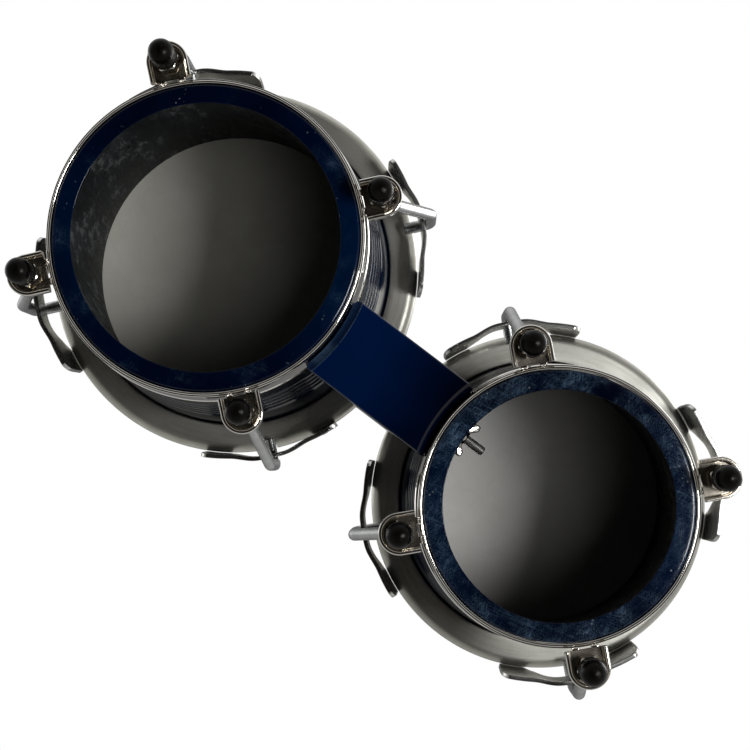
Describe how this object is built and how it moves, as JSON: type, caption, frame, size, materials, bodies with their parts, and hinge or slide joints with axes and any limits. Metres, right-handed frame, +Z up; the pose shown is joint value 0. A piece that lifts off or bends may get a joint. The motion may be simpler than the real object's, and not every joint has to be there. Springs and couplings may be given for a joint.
{
  "type": "bongo drums",
  "caption": "Pair of tapered hand drums joined by a centre block, with bottom rings, tuning hooks, nuts, rolled rims, side plates and rawhide heads",
  "frame": {"origin": "on the floor, under the middle of the pair's bounding box; the drums stand on the rod caps", "axes": "+X from the larger drum to the smaller one, +Z up from the foot to the heads, +Y completing a right-handed frame"},
  "size_m": [0.4736, 0.2384, 0.1968],
  "materials": {
    "navy_lacquer": "gloss",
    "chrome": "polished",
    "satin_steel": "satin",
    "zinc_steel": "satin",
    "black_rubber": "satin",
    "rawhide": "matte"
  },
  "bodies": {
    "root": {"big_shell": "navy_lacquer", "big_bottom_ring": "chrome", "big_head": "rawhide", "big_skin_collar": "rawhide", "big_ear_1": "chrome", "big_ear_2": "chrome", "big_ear_3": "chrome", "big_ear_4": "chrome", "small_shell": "navy_lacquer", "small_bottom_ring": "chrome", "small_head": "rawhide", "small_skin_collar": "rawhide", "small_ear_1": "chrome", "small_ear_2": "chrome", "small_ear_3": "chrome", "small_ear_4": "chrome", "big_washer": "chrome", "centre_block": "navy_lacquer", "through_bolt": "zinc_steel"},
    "big_tension_set": {"big_rim": "satin_steel", "big_flesh_hoop": "zinc_steel", "big_side_plate_1": "satin_steel", "big_side_plate_2": "satin_steel", "big_side_plate_3": "satin_steel", "big_side_plate_4": "satin_steel", "big_hook_1": "zinc_steel", "big_hook_2": "zinc_steel", "big_hook_3": "zinc_steel", "big_hook_4": "zinc_steel", "big_cap_1": "black_rubber", "big_cap_2": "black_rubber", "big_cap_3": "black_rubber", "big_cap_4": "black_rubber"},
    "small_tension_set": {"small_rim": "satin_steel", "small_flesh_hoop": "zinc_steel", "small_side_plate_1": "satin_steel", "small_side_plate_2": "satin_steel", "small_side_plate_3": "satin_steel", "small_side_plate_4": "satin_steel", "small_hook_1": "zinc_steel", "small_hook_2": "zinc_steel", "small_hook_3": "zinc_steel", "small_hook_4": "zinc_steel", "small_cap_1": "black_rubber", "small_cap_2": "black_rubber", "small_cap_3": "black_rubber", "small_cap_4": "black_rubber"},
    "big_nut_1_body": {"big_nut_1": "chrome"},
    "big_nut_2_body": {"big_nut_2": "chrome"},
    "big_nut_3_body": {"big_nut_3": "chrome"},
    "big_nut_4_body": {"big_nut_4": "chrome"},
    "small_nut_1_body": {"small_nut_1": "chrome"},
    "small_nut_2_body": {"small_nut_2": "chrome"},
    "small_nut_3_body": {"small_nut_3": "chrome"},
    "small_nut_4_body": {"small_nut_4": "chrome"},
    "clamp_washer": {"small_washer": "chrome"},
    "wing_nut_body": {"wing_nut": "chrome"}
  },
  "joints": [
    {"name": "big_tuning", "type": "slide", "parent": "root", "child": "big_tension_set", "axis": [0, 0, -1], "range_m": [-0.0015, 0.003], "deforming": ["big_skin_collar"]},
    {"name": "small_tuning", "type": "slide", "parent": "root", "child": "small_tension_set", "axis": [0, 0, -1], "range_m": [-0.0015, 0.003], "deforming": ["small_skin_collar"]},
    {"name": "big_nut_1_turn", "type": "hinge", "parent": "root", "child": "big_nut_1_body", "pos_m": [-0.04057, 0.06533, 0.0257], "axis": [0, 0, 1], "range_deg": [-435, 870]},
    {"name": "big_nut_2_turn", "type": "hinge", "parent": "root", "child": "big_nut_2_body", "pos_m": [-0.18293, 0.07703, 0.0257], "axis": [0, 0, 1], "range_deg": [-435, 870]},
    {"name": "big_nut_3_turn", "type": "hinge", "parent": "root", "child": "big_nut_3_body", "pos_m": [-0.19463, -0.06533, 0.0257], "axis": [0, 0, 1], "range_deg": [-435, 870]},
    {"name": "big_nut_4_turn", "type": "hinge", "parent": "root", "child": "big_nut_4_body", "pos_m": [-0.05227, -0.07703, 0.0257], "axis": [0, 0, 1], "range_deg": [-435, 870]},
    {"name": "small_nut_1_turn", "type": "hinge", "parent": "root", "child": "small_nut_1_body", "pos_m": [0.19485, 0.06061, 0.0257], "axis": [0, 0, 1], "range_deg": [-435, 870]},
    {"name": "small_nut_2_turn", "type": "hinge", "parent": "root", "child": "small_nut_2_body", "pos_m": [0.06879, 0.06545, 0.0257], "axis": [0, 0, 1], "range_deg": [-435, 870]},
    {"name": "small_nut_3_turn", "type": "hinge", "parent": "root", "child": "small_nut_3_body", "pos_m": [0.06395, -0.06061, 0.0257], "axis": [0, 0, 1], "range_deg": [-435, 870]},
    {"name": "small_nut_4_turn", "type": "hinge", "parent": "root", "child": "small_nut_4_body", "pos_m": [0.19001, -0.06545, 0.0257], "axis": [0, 0, 1], "range_deg": [-435, 870]},
    {"name": "clamp_slack", "type": "slide", "parent": "root", "child": "clamp_washer", "axis": [1, 0, 0], "range_m": [0, 0.003]},
    {"name": "wing_nut_turn", "type": "hinge", "parent": "clamp_washer", "child": "wing_nut_body", "pos_m": [0.068, 0, 0.0855], "axis": [1, 0, 0], "range_deg": [0, 1080]}
  ],
  "couplings": [
    {"joint": "big_nut_1_turn", "follows": "big_tuning", "rad_per_m": 5026.6},
    {"joint": "big_nut_2_turn", "follows": "big_tuning", "rad_per_m": 5026.6},
    {"joint": "big_nut_3_turn", "follows": "big_tuning", "rad_per_m": 5026.6},
    {"joint": "big_nut_4_turn", "follows": "big_tuning", "rad_per_m": 5026.6},
    {"joint": "small_nut_1_turn", "follows": "small_tuning", "rad_per_m": 5026.6},
    {"joint": "small_nut_2_turn", "follows": "small_tuning", "rad_per_m": 5026.6},
    {"joint": "small_nut_3_turn", "follows": "small_tuning", "rad_per_m": 5026.6},
    {"joint": "small_nut_4_turn", "follows": "small_tuning", "rad_per_m": 5026.6},
    {"joint": "wing_nut_turn", "follows": "clamp_slack", "rad_per_m": 6283.2}
  ]
}
